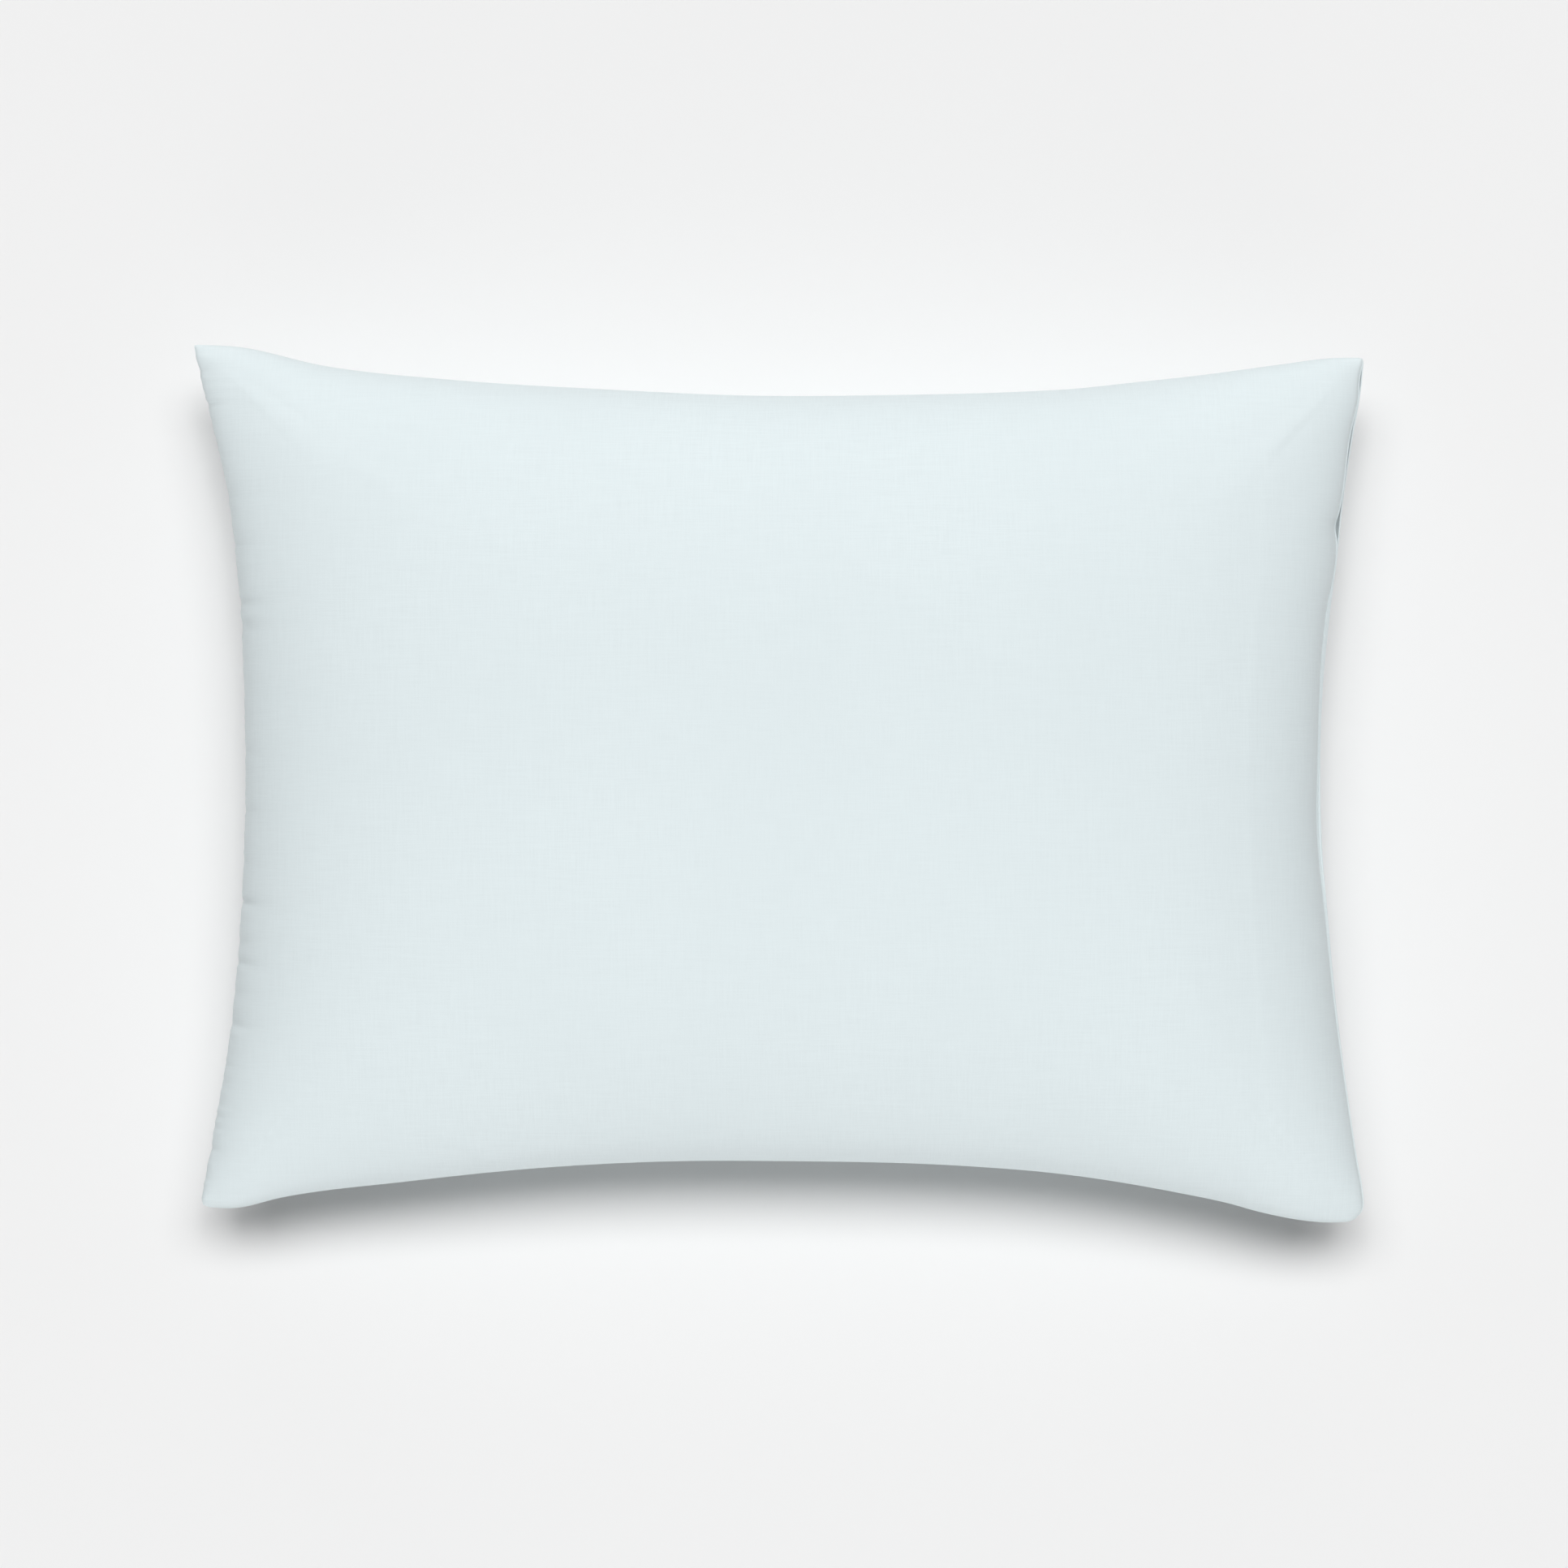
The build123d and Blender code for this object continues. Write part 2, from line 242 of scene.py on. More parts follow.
def plan(u, v):
    """Where each point of the cloth lies, seen from above. u runs along the pillow, v across it."""
    bottom = side("bottom_left", "bottom_right", (0, 1), BOTTOM_SIDE, u)[None]
    top = side("top_left", "top_right", (0, -1), TOP_SIDE, u)[None]
    left = side("bottom_left", "top_left", (1, 0), LEFT_SIDE, v)[:, None]
    right = side("bottom_right", "top_right", (-1, 0), RIGHT_SIDE, v)[:, None]
    uu, vv = u[None, :, None], v[:, None, None]
    tip = {name: np.array(place) for name, place in CORNERS.items()}
    low = tip["bottom_left"] * (1 - uu) + tip["bottom_right"] * uu
    high = tip["top_left"] * (1 - uu) + tip["top_right"] * uu
    flat = left * (1 - uu) + right * uu + bottom * (1 - vv) + top * vv - low * (1 - vv) - high * vv
    for name, (back, reach) in BLUNT.items():
        away = np.linalg.norm(flat - tip[name], axis=-1, keepdims=True)
        share = np.clip(1 - away / (reach * MM), 0, 1) ** 2
        flat = flat - tip[name] / np.linalg.norm(tip[name]) * share * back * MM
    return flat


def crown(place, swell):
    """From 0 at both ends to 1 in the middle. The first half and the second can swell differently."""
    curves = [1 - np.abs(2 * place - 1) ** np.where(place < 0.5, *powers) for powers in swell]
    return sum(np.sqrt(np.clip(curve, 0, 1)) for curve in curves) / len(curves)


def rise(u, v):
    """How swollen the cloth is: 0 on the seam, 1 in the middle."""
    return crown(v, SWELL_WIDE)[:, None] * crown(u, SWELL_LONG)[None, :]


def pressed(height):
    """A height kept above the bed, turning into it gradually."""
    over = height - BED_ROUND
    return np.where(over > 0, height, BED_ROUND * np.exp(np.minimum(over, 0) / BED_ROUND))


def front_shape(u, v):
    """The stuffed front, from the seam up."""
    height = SEAM_HEIGHT + (LOFT - SEAM_HEIGHT) * rise(u, v)
    return np.concatenate([plan(u, v), height[..., None]], axis=-1)


def back_shape(u, v):
    """The stuffed back, from the seam down to the bed."""
    free = SEAM_HEIGHT - (SEAM_HEIGHT + BED_SQUASH) * rise(u, v)
    return np.concatenate([plan(u, v), pressed(free)[..., None]], axis=-1)


def grid_faces(rows, columns, flip=False, first=0):
    """Four-sided faces of a grid of points, numbered from first."""
    index = first + np.arange(rows * columns).reshape(rows, columns)
    quads = np.stack([index[:-1, :-1], index[:-1, 1:], index[1:, 1:], index[1:, :-1]], axis=-1)
    return (quads[..., ::-1] if flip else quads).reshape(-1, 4)


def new_piece(name, points, faces):
    """A smooth mesh from points and faces; faces is a list or an array of point numbers."""
    mesh = bpy.data.meshes.new(name)
    mesh.from_pydata(np.asarray(points).reshape(-1, 3).tolist(), [], [list(face) for face in faces])
    mesh.shade_smooth()
    piece = bpy.data.objects.new(name, mesh)
    bpy.context.collection.objects.link(piece)
    return piece


# ---------------------------------------------------------------- cloth simulation


def soften(piece):
    """Makes a piece behave as cotton pushed out from inside, held where it is sewn or rests on the bed."""
    cloth = piece.modifiers.new("cloth", "CLOTH")
    settings = cloth.settings
    settings.quality = 4
    settings.mass = CLOTH_MASS
    settings.tension_stiffness = TENSION
    settings.compression_stiffness = COMPRESSION
    settings.shear_stiffness = SHEAR
    settings.bending_stiffness = BENDING
    settings.vertex_group_mass = "held"
    settings.pin_stiffness = 1
    settings.use_pressure = True
    settings.uniform_pressure_force = PRESSURE
    settings.vertex_group_shrink = "fullness"
    settings.shrink_min = 0
    settings.shrink_max = -SEAM_FULLNESS
    settings.effector_weights.gravity = 0
    cloth.point_cache.frame_start = 1
    cloth.point_cache.frame_end = SIM_FRAMES


def settled(piece):
    """Plays the simulation and returns where each point of the piece ends."""
    scene = bpy.context.scene
    for number in range(1, SIM_FRAMES + 1):
        scene.frame_set(number)
    shown = piece.evaluated_get(bpy.context.evaluated_depsgraph_get())
    places = np.empty(len(shown.data.vertices) * 3, np.float32)
    shown.data.vertices.foreach_get("co", places)
    scene.frame_set(1)
    return places.reshape(-1, 3).astype(float)


def limited(move, first, rim):
    """A move from the first shape, kept small, faded out at the corners and left out on the seam."""
    length = np.linalg.norm(move, axis=-1, keepdims=True)
    move *= np.minimum(1, SIM_CAP / np.maximum(length, 1e-9))
    for tip in CORNERS.values():
        away = ((first[..., :2] - np.array(tip)) ** 2).sum(axis=-1, keepdims=True)
        move *= 1 - np.exp(-away / SIM_CORNER**2)
    move[rim] = 0
    return move


def simulate():
    """Inflates the sewn case as cloth and returns how far each point of front and back moves."""
    u, v = spacing(SIM_COLUMNS), spacing(SIM_ROWS)
    rows, columns = SIM_ROWS + 1, SIM_COLUMNS + 1
    count = rows * columns
    front, back = front_shape(u, v), back_shape(u, v)
    seam = np.array([0, 0, SEAM_HEIGHT])
    start = np.concatenate([front.reshape(-1, 3), back.reshape(-1, 3)])
    start = (start - seam) * (1, 1, SIM_START) + seam
    # the back's rim is the front's rim: one ring of points, sewn
    index = np.arange(count).reshape(rows, columns)
    rim = np.zeros((rows, columns), bool)
    rim[[0, -1], :] = True
    rim[:, [0, -1]] = True
    own = np.where(rim.ravel(), index.ravel(), index.ravel() + count)
    faces = np.concatenate([grid_faces(rows, columns), own[grid_faces(rows, columns, flip=True)]])
    used, faces = np.unique(faces, return_inverse=True)
    piece = new_piece("sim_cloth", start[used], faces.reshape(-1, 4))
    held = piece.vertex_groups.new(name="held")
    on_bed = np.unique(own.reshape(rows, columns)[back[..., 2] < BED_CONTACT])
    for points in (index[rim], on_bed):
        held.add(np.searchsorted(used, points).tolist(), 1.0, "REPLACE")
    fullness = piece.vertex_groups.new(name="fullness")
    from_end = np.minimum(u, 1 - u)[None, :] * 2 * HALF_LENGTH
    from_side = np.minimum(v, 1 - v)[:, None] * 2 * HALF_WIDTH
    share = np.exp(-((np.minimum(from_end, from_side).ravel() / FULLNESS_REACH) ** 2))
    for number, point in enumerate(used):
        fullness.add([number], float(share[point % count]), "REPLACE")
    soften(piece)
    result = np.zeros((2 * count, 3))
    result[used] = settled(piece)
    bpy.data.objects.remove(piece)
    front_move = result[:count].reshape(rows, columns, 3) - front
    back_move = result[own].reshape(rows, columns, 3) - back
    return u, v, [limited(front_move, front, rim), limited(back_move, back, rim)]


def finer(u, v, values, fine_u, fine_v):
    """Values on the simulation's grid, read smoothly on the shown cloth's grid."""
    return np.einsum("ai,ijk,bj->abk", hermite(v, fine_v), values, hermite(u, fine_u))


# ---------------------------------------------------------------- the case's skin


SIM = simulate()


def gathers(u, v):
    """How far the cloth is drawn in towards the left seam's gathers."""
    from_left = u[None, :] * 2 * HALF_LENGTH / MM
    depth = np.zeros((len(v), len(u)))
    for share, deep, half_width, reach in GATHERS:
        across = (v[:, None] - share) * 2 * HALF_WIDTH / MM
        spread = half_width + from_left / GATHER_SPREAD
        depth += deep * np.exp(-((across / spread) ** 2) - from_left / reach)
    depth *= 1 - 0.45 * np.exp(-((from_left / 2.5) ** 2))
    up = v[:, None] * 2 * HALF_WIDTH / MM
    pucker = np.sin(up / 1.3 + 1.7 * np.sin(up / 7.1))
    pucker += 0.7 * np.sin(up / 0.83 + 2.3 * np.sin(up / 11.3))
    fade = np.exp(-from_left / PUCKER_REACH) * (1 - 0.5 * np.exp(-((from_left / 2) ** 2)))
    return (depth + PUCKER * pucker * fade) * MM


def taper(v):
    """From 0 at both ends of the opening to nearly 1 along it."""
    return np.sin(pi * np.clip(v, 0, 1)) ** 0.15


def creases(flat):
    """Height of the soft creases over the points of the front, seen from above."""
    height = np.zeros(flat.shape[:2])
    for start, end, tall, half_width in CREASES:
        start, end = np.array(start) * MM, np.array(end) * MM
        line = end - start
        share = np.clip(((flat - start) @ line) / (line @ line), 0, 1)
        near = np.linalg.norm(flat - start - share[..., None] * line, axis=-1) / (half_width * MM)
        height += tall * MM * np.sin(pi * np.clip(share, 0.02, 0.98)) * np.exp(-(near**2))
    return height


def normals(points):
    """Unit normals of a grid of points."""
    normal = np.cross(np.gradient(points, axis=1), np.gradient(points, axis=0))
    return normal / np.maximum(np.linalg.norm(normal, axis=-1, keepdims=True), 1e-12)


def skin(face, u, v):
    """Points of the case's outer face, "front" or "back", as a grid."""
    points = front_shape(u, v) if face == "front" else back_shape(u, v)
    if SIM:
        sim_u, sim_v, moves = SIM
        points = points + finer(sim_u, sim_v, moves[face == "back"], u, v)
    outward = normals(points) * (1 if face == "front" else -1)
    depth = gathers(u, v)
    from_mouth = (1 - u) * 2 * HALF_LENGTH
    if face == "front":
        over_hem = 1 / (1 + np.exp((from_mouth - HEM_DEPTH) / STEP_BLUR))
        depth = depth - creases(points[..., :2]) - HEM_STEP * over_hem[None, :] * taper(v)[:, None]
    points = points - outward * depth[..., None]
    if face == "front":
        fade = np.exp(-from_mouth[None, :] / LIP_FADE)
        ends = taper(v)[:, None]
        points[..., 0] -= (along(LIP, v)[:, None] * MM + HEM_TURN) * ends * fade
        points[..., 2] += along(HEM_LIFT, v)[:, None] * MM * ends * fade**3
    points[..., 2] = np.maximum(points[..., 2], 0)
    return points


def under(face, u, v, deep):
    """The skin's points, moved into the pillow."""
    points = skin(face, u, v)
    return points - normals(points) * (deep if face == "front" else -deep)


def inside(face, a, b, inset, deep):
    """Points of a bag inside the case. Its own edge lies a little way in from the case's."""
    share_long, share_wide = inset / (2 * HALF_LENGTH), inset / (2 * HALF_WIDTH)
    u, v = share_long + (1 - 2 * share_long) * a, share_wide + (1 - 2 * share_wide) * b
    points = skin(face, u, v)
    keep = rise(a, b) / np.maximum(rise(u, v), 1e-9) * (1 - deep)
    points[..., 2] = SEAM_HEIGHT + (points[..., 2] - SEAM_HEIGHT) * keep
    return points


# ---------------------------------------------------------------- the case's panels


def add_front():
    """The front panel. At the open end its hem turns outward and is folded under."""
    u, v = spacing(COLUMNS), spacing(ROWS)
    points = skin("front", u, v)
    ends = taper(v)[:, None]
    edge = points[:, -1:, :]
    nothing = np.zeros_like(ends)
    columns = [points]

    def turned(out, up):
        return edge + np.concatenate([out * ends, nothing, up * ends], axis=1)[:, None, :]

    for out, up in HEM_FOLD:
        columns.append(turned(HEM_TURN * out, up * MM))
    # the cloth curls on from where the last step ended
    for angle in HEM_CURL:
        curl = HEM_ROUND * np.array([np.sin(radians(angle)), 1 - np.cos(radians(angle))])
        columns.append(turned(HEM_TURN * out + curl[0], up * MM - curl[1]))
    last = columns[-1]
    for inward in HEM_UNDER:
        columns.append(last - np.concatenate([inward * MM * ends, nothing, nothing], axis=1)[:, None, :])
    points = np.concatenate(columns, axis=1)
    return new_piece("case_front", points, grid_faces(*points.shape[:2]))


def add_back():
    """The back panel. At the open end it folds over into the flap, and the fold stands out as a lip."""
    u, v = spacing(COLUMNS), spacing(ROWS)
    points = skin("back", u, v)
    edge = points[:, -1:, :]
    ends = taper(v)[:, None]
    columns = [points]
    slit = along(SLIT, v)[:, None]
    for inward, up in FLAP_FOLD:
        height = up - slit * np.clip((inward - 0.6) / 1.2, 0, 1)
        step = np.concatenate([-inward * ends, 0 * ends, height * ends], axis=1)[:, None, :] * MM
        columns.append(edge + step)
    points = np.concatenate(columns, axis=1)
    return new_piece("case_back", points, grid_faces(*points.shape[:2], flip=True))


def shares(first, last, spans):
    """Even places from first to last."""
    return np.linspace(first, last, spans + 1)


def length_share(distance):
    """A distance as a share of the pillow's length."""
    return distance / (2 * HALF_LENGTH)


def add_layer(name, face, u, v, deep):
    """A single layer of cloth at one depth under the skin."""
    points = under(face, u, v, deep)
    return new_piece(name, points, grid_faces(*points.shape[:2], flip=face == "back"))


def add_bag(name, face, inset, deep, columns, rows):
    """One side of the insert's bag."""
    points = inside(face, spacing(columns), spacing(rows), inset, deep)
    return new_piece(name, points, grid_faces(*points.shape[:2], flip=face == "back"))


def add_fill():
    """The fibre filling, one closed lump."""
    a, b = spacing(96), spacing(72)
    lumps = np.sin(LUMPS[0] * pi * a)[None, :] * np.sin(LUMPS[1] * pi * b)[:, None] * LUMP_HEIGHT
    shapes = []
    for face in ("front", "back"):
        points = inside(face, a, b, 2 * TICKING_INSET, FILL_DEEP)
        points[..., 2] += lumps if face == "back" else -lumps - FILL_LOWER
        shapes.append(points)
    shapes[1][[0, -1]] = shapes[0][[0, -1]]
    shapes[1][:, [0, -1]] = shapes[0][:, [0, -1]]
    count = len(a) * len(b)
    faces = np.concatenate([grid_faces(len(b), len(a)), grid_faces(len(b), len(a), flip=True, first=count)])
    piece = new_piece("fibre_filling", np.concatenate([s.reshape(-1, 3) for s in shapes]), faces)
    merge(piece)
    return piece


def merge(piece):
    """Joins points that lie in the same place."""
    mesh = bmesh.new()
    mesh.from_mesh(piece.data)
    bmesh.ops.remove_doubles(mesh, verts=mesh.verts, dist=1e-6)
    mesh.to_mesh(piece.data)
    mesh.free()


# ---------------------------------------------------------------- seams and stitching


def tube(name, path, radius, sides=6):
    """A thin round thread along a path, closed at its ends."""
    path = np.asarray(path, float)
    along_path = np.gradient(path, axis=0)
    along_path /= np.linalg.norm(along_path, axis=1, keepdims=True)
    across = np.cross(along_path, (0.013, 0.021, 1.0))
    across /= np.linalg.norm(across, axis=1, keepdims=True)
    third = np.cross(along_path, across)
    angles = np.arange(sides) * 2 * pi / sides
    rings = path[:, None] + radius * (
        across[:, None] * np.cos(angles)[None, :, None] + third[:, None] * np.sin(angles)[None, :, None]
    )
    index = np.arange(len(path) * sides).reshape(len(path), sides)
    index = np.concatenate([index, index[:, :1]], axis=1)
    quads = np.stack([index[:-1, :-1], index[:-1, 1:], index[1:, 1:], index[1:, :-1]], axis=-1).reshape(-1, 4)
    caps = [list(range(sides))[::-1], list(range((len(path) - 1) * sides, len(path) * sides))]
    return new_piece(name, rings, quads.tolist() + caps)


def evenly(line, spans):
    """Points at equal steps along a polyline."""
    steps = np.concatenate([[0], np.cumsum(np.linalg.norm(np.diff(line, axis=0), axis=1))])
    want = np.linspace(0, steps[-1], spans + 1)
    return np.stack([np.interp(want, steps, line[:, k]) for k in range(3)], axis=1), steps[-1]


def stitches(name, line, reach=STITCH_REACH):
    """A row of stitches: the thread goes through the cloth and back, once each pitch."""
    count = int(evenly(line, 1)[1] / STITCH_PITCH)
    path, _ = evenly(line, count * 8)
    lift = np.clip(1.8 * np.sin(np.arange(count * 8 + 1) * pi / 4), -1, 1) * reach
    return tube(name, path + lift[:, None] * (0, 0, 1), STITCH_RADIUS)


def rim(name, t, inset):
    """Points along one seam of the case, at an inset from its edge and in the plane of the seam."""
    near_long, near_wide = inset / (2 * HALF_LENGTH), inset / (2 * HALF_WIDTH)
    routes = {
        "top": (t, 1 - near_wide),
        "bottom": (t, near_wide),
        "left": (near_long, t),
        "right": (1 - near_long, t),
    }
    u, v = (np.atleast_1d(value) for value in routes[name])
    flat = plan(u, v)
    flat[..., 0] += gathers(u, v)
    flat = flat.reshape(-1, 2)
    return np.concatenate([flat, np.full((len(flat), 1), SEAM_HEIGHT)], axis=1)


def band(name, side_name, outer, inner, half):
    """A seam's turned-in cloth: a thin closed band with a slightly wavy raw edge."""
    t = shares(SEAM_END, 1 - SEAM_END, 160)
    out_line, in_line = rim(side_name, t, outer), rim(side_name, t, inner)
    wave = np.sin(np.arange(len(t)) * 1.3) * 0.25 * MM
    in_line[:, 2] += wave
    up = np.array([0, 0, half])
    corners = np.stack([out_line + up, in_line + up, in_line - up, out_line - up], axis=1)
    index = np.arange(len(t) * 4).reshape(len(t), 4)
    index = np.concatenate([index, index[:, :1]], axis=1)
    quads = np.stack([index[:-1, :-1], index[:-1, 1:], index[1:, 1:], index[1:, :-1]], axis=-1).reshape(-1, 4)
    ends = [[0, 1, 2, 3], [len(t) * 4 - 1 - k for k in range(4)]]
    piece = new_piece(name, corners, quads.tolist() + ends)
    for polygon in piece.data.polygons:
        polygon.use_smooth = False
    return piece


def add_bartack(name, start):
    """A close row of short stitches that locks one end of the opening."""
    places = start + np.arange(BARTACK_STITCHES) * BARTACK_PITCH / (2 * HALF_WIDTH)
    path = []
    for number, place in enumerate(places):
        near, far = (rim("right", np.array([place]), inset)[0] for inset in BARTACK_INSETS)
        path += [near, far] if number % 2 else [far, near]
    return tube(name, np.array(path) + (0, 0, BARTACK_LIFT), BARTACK_RADIUS)


# ---------------------------------------------------------------- materials


def feed(tree, socket, value):
    """Links a node's output to a socket, or sets the socket to a number or colour."""
    if hasattr(value, "is_output"):
        tree.links.new(value, socket)
    else:
        socket.default_value = value


class Look:
    """A material built from nodes, laid out by the object's own coordinates in metres."""

    def __init__(self, name):
        self.material = bpy.data.materials.new(name)
        self.material.use_nodes = True
        self.tree = self.material.node_tree
        self.shader = self.tree.nodes["Principled BSDF"]
        self.place = self.tree.nodes.new("ShaderNodeTexCoord").outputs["Object"]

    def node(self, kind, **inputs):
        made = self.tree.nodes.new(kind)
        for name, value in inputs.items():
            feed(self.tree, made.inputs[name.replace("_", " ")], value)
        return made

    def noise(self, scale, detail=3.0, stretch=None):
        place = self.place
        if stretch:
            place = self.node("ShaderNodeMapping", Vector=place, Scale=stretch).outputs["Vector"]
        return self.node("ShaderNodeTexNoise", Vector=place, Scale=scale, Detail=detail).outputs["Fac"]

    def waves(self, scale, direction, distortion=0.0):
        made = self.node("ShaderNodeTexWave", Vector=self.place, Scale=scale, Distortion=distortion)
        made.bands_direction = direction
        return made.outputs["Fac"]

    def math(self, operation, a, b):
        made = self.tree.nodes.new("ShaderNodeMath")
        made.operation = operation
        for socket, value in zip(made.inputs, (a, b)):
            feed(self.tree, socket, value)
        return made.outputs[0]

    def mix(self, share, low, high):
        made = self.tree.nodes.new("ShaderNodeMix")
        made.data_type = "RGBA"
        self.tree.links.new(share, made.inputs["Factor"])
        for socket, value in ((made.inputs[6], low), (made.inputs[7], high)):
            feed(self.tree, socket, value if hasattr(value, "is_output") else (*value, 1))
        return made.outputs[2]

    def ramp(self, value, low, high):
        ends = {"From_Min": low[0], "From_Max": high[0], "To_Min": low[1], "To_Max": high[1]}
        return self.node("ShaderNodeMapRange", Value=value, **ends).outputs["Result"]

    def bump(self, height, distance, strength, below=None):
        made = self.node("ShaderNodeBump", Height=height, Distance=distance, Strength=strength)
        if below is not None:
            self.tree.links.new(below, made.inputs["Normal"])
        return made.outputs["Normal"]

    def set(self, **sockets):
        for name, value in sockets.items():
            feed(self.tree, self.shader.inputs[name.replace("_", " ")], value)


def shade(color, times):
    """A colour made lighter or darker."""
    return tuple(channel * times for channel in color)


WAVE = 0.314  # a wave texture's scale times the distance between its bands, in metres


def woven(name, color, thread, sheen, roughness, fuzz=0.3):
    """Plain-weave cotton: threads both ways, slubs in the yarn, faint unevenness of the dye."""
    look = Look(name)
    scale = WAVE / thread
    warp = look.waves(scale, "X", 0.6)
    weft = look.waves(scale, "Y", 0.6)
    weave = look.math("MULTIPLY", warp, weft)
    slubs_long = look.noise(60.0, 2.0, (1.0, 28.0, 1.0))
    slubs_wide = look.noise(60.0, 2.0, (28.0, 1.0, 1.0))
    slubs = look.math("MULTIPLY", slubs_long, slubs_wide)
    dye = look.noise(9.0, 4.0)
    tone = look.mix(look.ramp(dye, (0.3, 0.0), (0.7, 1.0)), shade(color, 0.985), shade(color, 1.012))
    tone = look.mix(look.ramp(slubs, (0.12, 0.0), (0.42, 1.0)), tone, shade(color, 0.962))
    lint = look.noise(1400.0, 2.0)
    rumple = look.noise(26.0, 3.0)
    normal = look.bump(rumple, 0.9 * MM, 0.12)
    normal = look.bump(lint, 0.12 * MM, fuzz, below=normal)
    normal = look.bump(weave, 0.05 * MM, 0.35, below=normal)
    rough = look.ramp(slubs, (0.1, roughness - 0.04), (0.5, roughness + 0.05))
    look.set(Base_Color=tone, Roughness=rough, Normal=normal, Sheen_Weight=sheen, Sheen_Roughness=0.5)
    look.set(Specular_IOR_Level=0.25)
    return look.material


def satin(name, color):
    """A label's smooth ribbon, with fine ribs."""
    look = Look(name)
    ribs = look.waves(WAVE / (0.6 * MM), "X", 0.2)
    tone = look.mix(look.noise(120.0), shade(color, 0.97), color)
    look.set(Base_Color=tone, Roughness=look.ramp(ribs, (0.0, 0.38), (1.0, 0.5)), Sheen_Weight=0.1)
    look.set(Normal=look.bump(ribs, 0.06 * MM, 0.6))
    return look.material


def spun(name, color):
    """Sewing thread: a twisted yarn."""
    look = Look(name)
    twist = look.waves(WAVE / (0.5 * MM), "DIAGONAL", 1.0)
    tone = look.mix(twist, shade(color, 0.9), shade(color, 1.03))
    look.set(Base_Color=tone, Roughness=look.ramp(twist, (0.0, 0.5), (1.0, 0.65)), Sheen_Weight=0.2)
    look.set(Normal=look.bump(twist, 0.1 * MM, 0.8))
    return look.material


def fibre(name, color):
    """Loose polyester fibre: fine strands every way, soft clumps."""
    look = Look(name)
    strands = look.noise(420.0, 6.0, (1.0, 3.0, 1.5))
    clumps = look.noise(35.0, 5.0)
    tone = look.mix(clumps, shade(color, 0.9), color)
    normal = look.bump(clumps, 3 * MM, 0.5)
    normal = look.bump(strands, 0.8 * MM, 0.8, below=normal)
    look.set(Base_Color=tone, Roughness=look.ramp(strands, (0.3, 0.75), (0.7, 0.95)), Normal=normal)
    look.set(Sheen_Weight=0.4)
    return look.material


def paper(name, color):
    """Plain matt paper for the floor."""
    look = Look(name)
    grain = look.noise(900.0)
    tone = look.mix(grain, shade(color, 0.998), shade(color, 1.002))
    look.set(Base_Color=tone, Roughness=look.ramp(grain, (0.0, 0.95), (1.0, 1.0)), Specular_IOR_Level=0.0)
    return look.material


CASE_BLUE = (0.655, 0.724, 0.740)
TICKING_WHITE = (0.86, 0.85, 0.82)
THREAD_BLUE = (0.58, 0.65, 0.67)
THREAD_WHITE = (0.85, 0.84, 0.81)

MATERIALS = {
    "case_cloth": woven("case_cotton", CASE_BLUE, 0.45 * MM, 0.12, 0.82),
    "ticking": woven("ticking_cotton", TICKING_WHITE, 0.6 * MM, 0.1, 0.85),
    "label": satin("label_satin", (0.9, 0.9, 0.89)),
    "filling": fibre("polyester_fibre", (0.9, 0.9, 0.9)),
    "case_thread": spun("case_sewing_thread", THREAD_BLUE),
    "ticking_thread": spun("ticking_sewing_thread", THREAD_WHITE),
}


def put(piece, node, look):
    """Gives a piece its material and its body, and hides the part of the frame that it stands for."""
    piece.data.materials.append(MATERIALS[look])
    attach(piece, "root")
    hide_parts(node)
    return piece


# ---------------------------------------------------------------- the case

front = put(add_front(), "case_front_panel", "case_cloth")
back = put(add_back(), "case_back_panel", "case_cloth")
wide = shares(0.02, 0.98, 120)
hem_u = shares(1 - length_share(HEM_DEPTH), 1 - length_share(MOUTH_FROM), 16)
hem = put(
    add_layer("case_front_hem_cloth", "front", hem_u, wide, HEM_DEEP),
    "case_front_hem", "case_cloth",
)
flap_u = shares(1 - length_share(FLAP_DEPTH), 1 - length_share(MOUTH_FROM), 48)
flap = put(add_layer("case_flap_cloth", "front", flap_u, wide, FLAP_DEEP), "case_flap", "case_cloth")
flap_hem_u = shares(1 - length_share(FLAP_DEPTH), 1 - length_share(FLAP_DEPTH - FLAP_HEM_DEPTH), 5)
flap_hem = put(
    add_layer("case_flap_hem_cloth", "front", flap_hem_u, wide, FLAP_HEM_DEEP),
    "case_flap_hem", "case_cloth",
)


def across_stitches(name, node, distance, deep):
    """A row of stitches across the pillow, through the layers under the front."""
    u = np.array([1 - length_share(distance), 1 - length_share(distance) + 0.001])
    line = under("front", u, wide, deep)[:, 0]
    put(stitches(name, line, ROW_REACH), node, "case_thread")


hem_row = HEM_DEPTH - 2 * MM
flap_row = FLAP_DEPTH - FLAP_HEM_DEPTH + 2 * MM
across_stitches("front_hem_stitching", "case_front_hem_thread", hem_row, HEM_DEEP + 0.5 * MM)
across_stitches("flap_hem_stitching", "case_flap_hem_thread", flap_row, FLAP_HEM_DEEP)

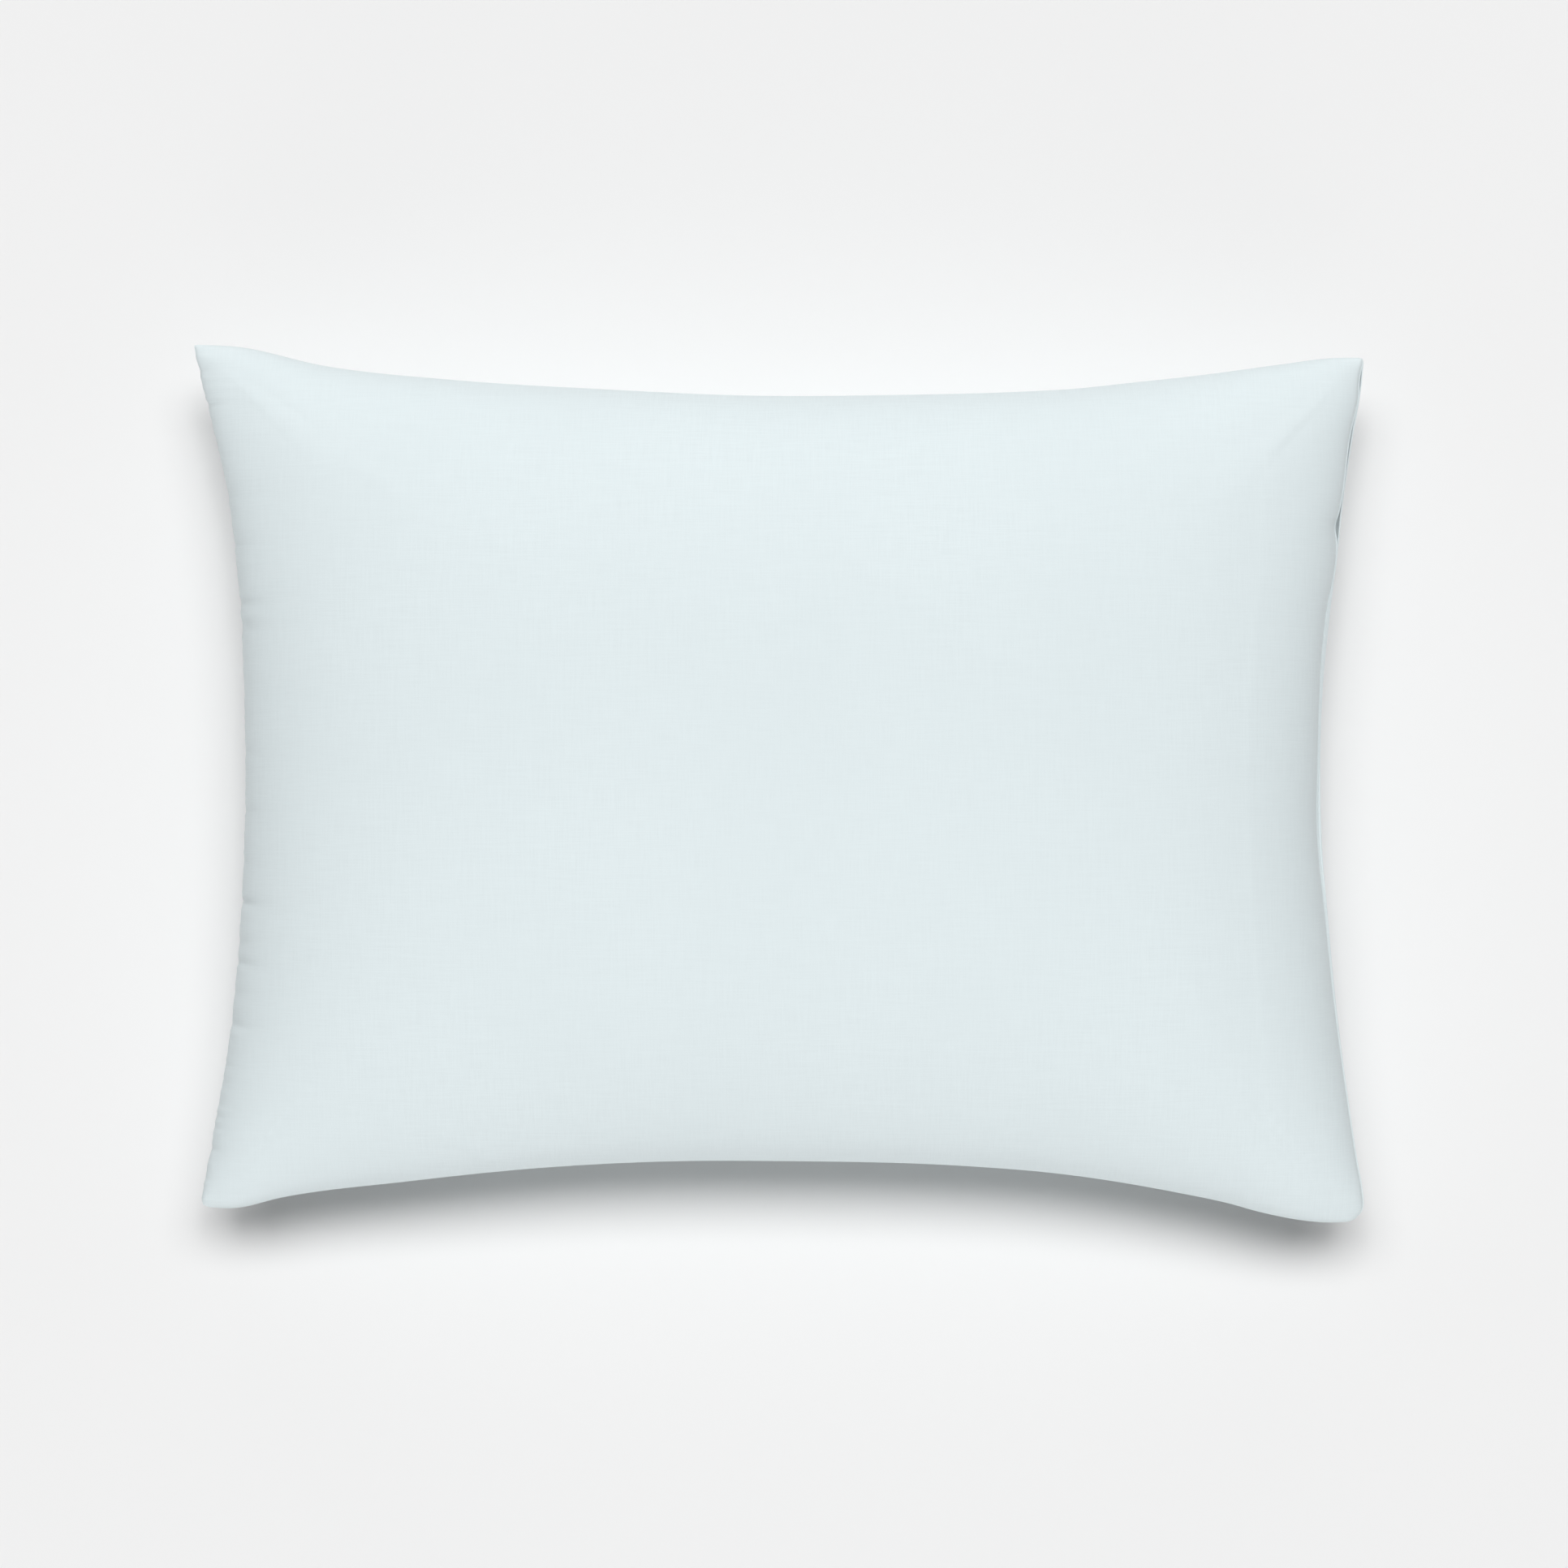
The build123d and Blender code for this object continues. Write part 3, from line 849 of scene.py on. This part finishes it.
case_route = shares(0.04, 0.96, 200)
for name in ("top", "bottom", "left"):
    put(band(f"case_{name}_allowance", name, EDGE_IN, CASE_SEAM, CLOTH), f"case_{name}_seam", "case_cloth")
    row = stitches(f"case_{name}_stitching", rim(name, case_route, STITCH_IN))
    put(row, f"case_{name}_seam_thread", "case_thread")
mouth_seam = band("case_mouth_allowance", "right", MOUTH_SEAM_IN, CASE_SEAM + 4 * MM, CLOTH)
put(mouth_seam, "case_mouth_seam", "case_cloth")
row = stitches("case_mouth_stitching", rim("right", case_route, MOUTH_STITCH_IN))
put(row, "case_mouth_seam_thread", "case_thread")
for name, place in BARTACK_PLACES.items():
    put(add_bartack(f"case_mouth_bartack_{name}", place), f"case_bartack_{name}", "case_thread")

# ---------------------------------------------------------------- the insert

for face in ("front", "back"):
    piece = add_bag(f"ticking_{face}_cloth", face, TICKING_INSET, TICKING_DEEP, 120, 90)
    put(piece, f"ticking_{face}", "ticking")
ticking_route = shares(0.05, 0.95, 200)
for name, node in (("top", "top"), ("bottom", "bottom"), ("left", "left"), ("right", "closing")):
    outer, inner = TICKING_INSET + EDGE_IN, TICKING_INSET + TICKING_SEAM
    put(band(f"ticking_{node}_allowance", name, outer, inner, CLOTH), f"ticking_{node}_seam", "ticking")
    row = stitches(f"ticking_{node}_stitching", rim(name, ticking_route, TICKING_INSET + STITCH_IN))
    put(row, f"ticking_{node}_seam_thread", "ticking_thread")
fill = put(add_fill(), "fill", "filling")


def add_label(name, x, inset, deep):
    """A blank care label caught in the bottom seam, lying against the back."""
    middle = 0.5 + x / (2 * HALF_LENGTH)
    half = length_share(LABEL_WIDE / 2)
    u = shares(middle - half, middle + half, 12)
    v = (inset + np.linspace(1 * MM, 34 * MM, 20)) / (2 * HALF_WIDTH)
    points = under("back", u, v, deep)
    return new_piece(name, points, grid_faces(*points.shape[:2], flip=True))


case_label = put(add_label("case_label_ribbon", -170 * MM, 0, 0.6 * MM), "case_care_label", "label")
insert_label = put(
    add_label("insert_label_ribbon", 150 * MM, TICKING_INSET, 1.2 * MM),
    "insert_care_label", "label",
)

# ---------------------------------------------------------------- floor, camera, light

FRAME_WIDTH = 0.8414
PICTURE_SHIFT = (0.0028, -0.0007)
CAMERA_AWAY = 3.0
SENSOR = 36.0
WORLD = 0.19
FLOOR_WHITE = (0.84, 0.84, 0.84)
FLOOR_SIZE = 8
# where the light comes from (compass degrees from +Y towards +X), its tilt from overhead, its
# softness (both degrees), its strength; a fill light falls on the pillow alone
KEYS = [
    (36, 25, 20, 0.62), (324, 25, 20, 0.55), (0, 20, 24, 1.46), (0, 15, 20, 0.06), (0, 70, 30, 0.15),
    (180, 70, 40, 0.35),
]
FILLS = [(180, 70, 40, 0.25), (180, 84, 20, 1.15), (0, 60, 30, 0.48)]


def add_sun(compass, tilt, softness, strength):
    """A distant soft lamp."""
    data = bpy.data.lights.new("studio_light", "SUN")
    data.energy = strength
    data.angle = radians(softness)
    light = bpy.data.objects.new("studio_light", data)
    level = np.sin(radians(tilt))
    east, north = level * np.sin(radians(compass)), level * np.cos(radians(compass))
    toward = Vector((east, north, np.cos(radians(tilt))))
    light.rotation_euler = (-toward).to_track_quat("-Z", "Y").to_euler()
    bpy.context.collection.objects.link(light)
    return light


def set_stage():
    """The floor and the lamps."""
    bpy.ops.mesh.primitive_plane_add(size=FLOOR_SIZE, location=(0, 0, 0))
    floor = bpy.context.object
    floor.name = "floor"
    floor.data.materials.append(paper("floor_paper", FLOOR_WHITE))
    for sun in KEYS:
        add_sun(*sun)
    lit = bpy.data.collections.new("pillow_only")
    for panel in (front, back):
        lit.objects.link(panel)
    for sun in FILLS:
        add_sun(*sun).light_linking.receiver_collection = lit
    world = bpy.data.worlds.new("world")
    bpy.context.scene.world = world
    world.use_nodes = True
    background = world.node_tree.nodes["Background"]
    background.inputs["Color"].default_value = (1, 1, 1, 1)
    background.inputs["Strength"].default_value = WORLD
    bpy.context.scene.view_settings.view_transform = "Standard"


def set_camera():
    """A long lens straight above the pillow."""
    data = bpy.data.cameras.new("camera")
    data.sensor_width = SENSOR
    data.lens = SENSOR * CAMERA_AWAY / FRAME_WIDTH
    data.clip_end = 20
    camera = bpy.data.objects.new("camera", data)
    camera.location = (*PICTURE_SHIFT, SEAM_HEIGHT + CAMERA_AWAY)
    bpy.context.collection.objects.link(camera)
    bpy.context.scene.camera = camera


set_stage()
set_camera()
